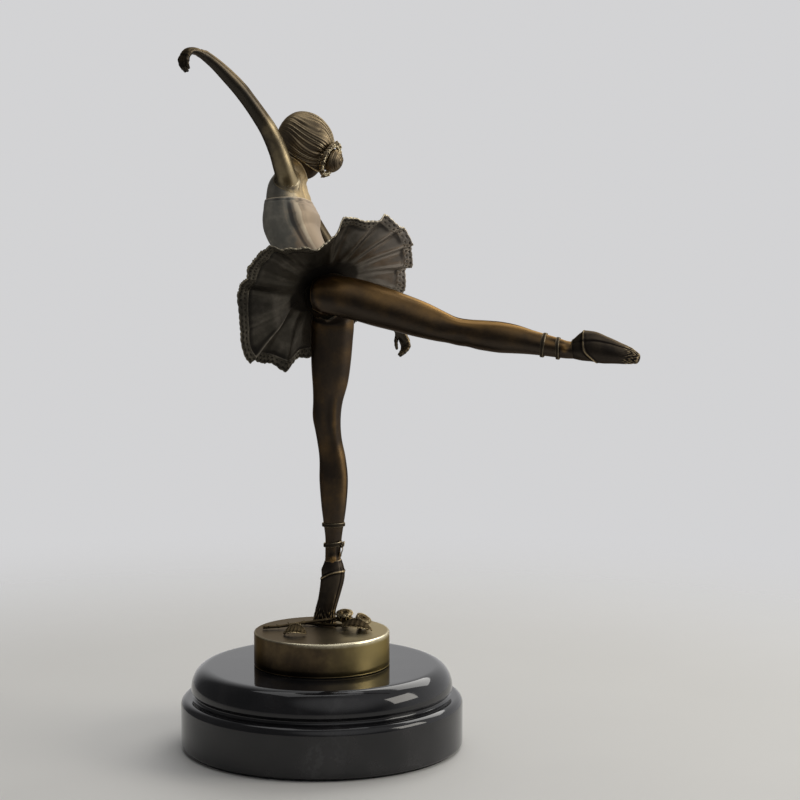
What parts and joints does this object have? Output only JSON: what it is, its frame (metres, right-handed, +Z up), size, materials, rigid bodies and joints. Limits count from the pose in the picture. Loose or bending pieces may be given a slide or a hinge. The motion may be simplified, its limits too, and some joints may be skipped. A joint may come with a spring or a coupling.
{
  "type": "dancer statuette",
  "caption": "Cast figure of a ballet dancer balanced on one toe, one leg stretched behind, bolted by a stud to a turned stone base.",
  "frame": {"origin": "middle of the base's underside, on the axis of the turned marble and the plinth", "axes": "+Z up, the base's axis; +X towards the foot of the raised leg; +Y away from the side on which the raised leg and raised arm lie"},
  "size_m": [0.2382, 0.15, 0.3682],
  "materials": {
    "marble": "polished",
    "felt": "matte",
    "steel": "satin",
    "plinth_bronze": "satin",
    "figure_bronze": "satin",
    "shoe_bronze": "satin",
    "dress_bronze": "satin",
    "trim_bronze": "satin",
    "hair_bronze": "satin",
    "flower_bronze": "satin"
  },
  "bodies": {
    "root": {"marble_base": "marble", "felt_pad": "felt", "mounting_stud": "steel", "flat_washer": "steel", "spring_washer": "steel", "hex_nut": "steel", "bronze_plinth": "plinth_bronze", "standing_leg": "figure_bronze", "raised_leg": "figure_bronze", "standing_shoe": "shoe_bronze", "raised_shoe": "shoe_bronze", "standing_ribbon_upper": "trim_bronze", "standing_ribbon_lower": "trim_bronze", "raised_ribbon_upper": "trim_bronze", "raised_ribbon_lower": "trim_bronze", "ribbon_knot": "trim_bronze", "pelvis": "dress_bronze", "tutu_skirt": "dress_bronze", "lace_edge": "trim_bronze", "bodice": "dress_bronze", "bust": "figure_bronze", "left_arm": "figure_bronze", "right_arm": "figure_bronze", "head": "figure_bronze", "hair_cap": "hair_bronze", "hair_bun": "hair_bronze", "hair_garland": "hair_bronze", "rose_stem_long": "flower_bronze", "rose_stem_short": "flower_bronze", "rose_bloom_1": "flower_bronze", "rose_bloom_2": "flower_bronze", "rose_leaf_1": "flower_bronze", "rose_leaf_2": "flower_bronze"}
  },
  "joints": []
}
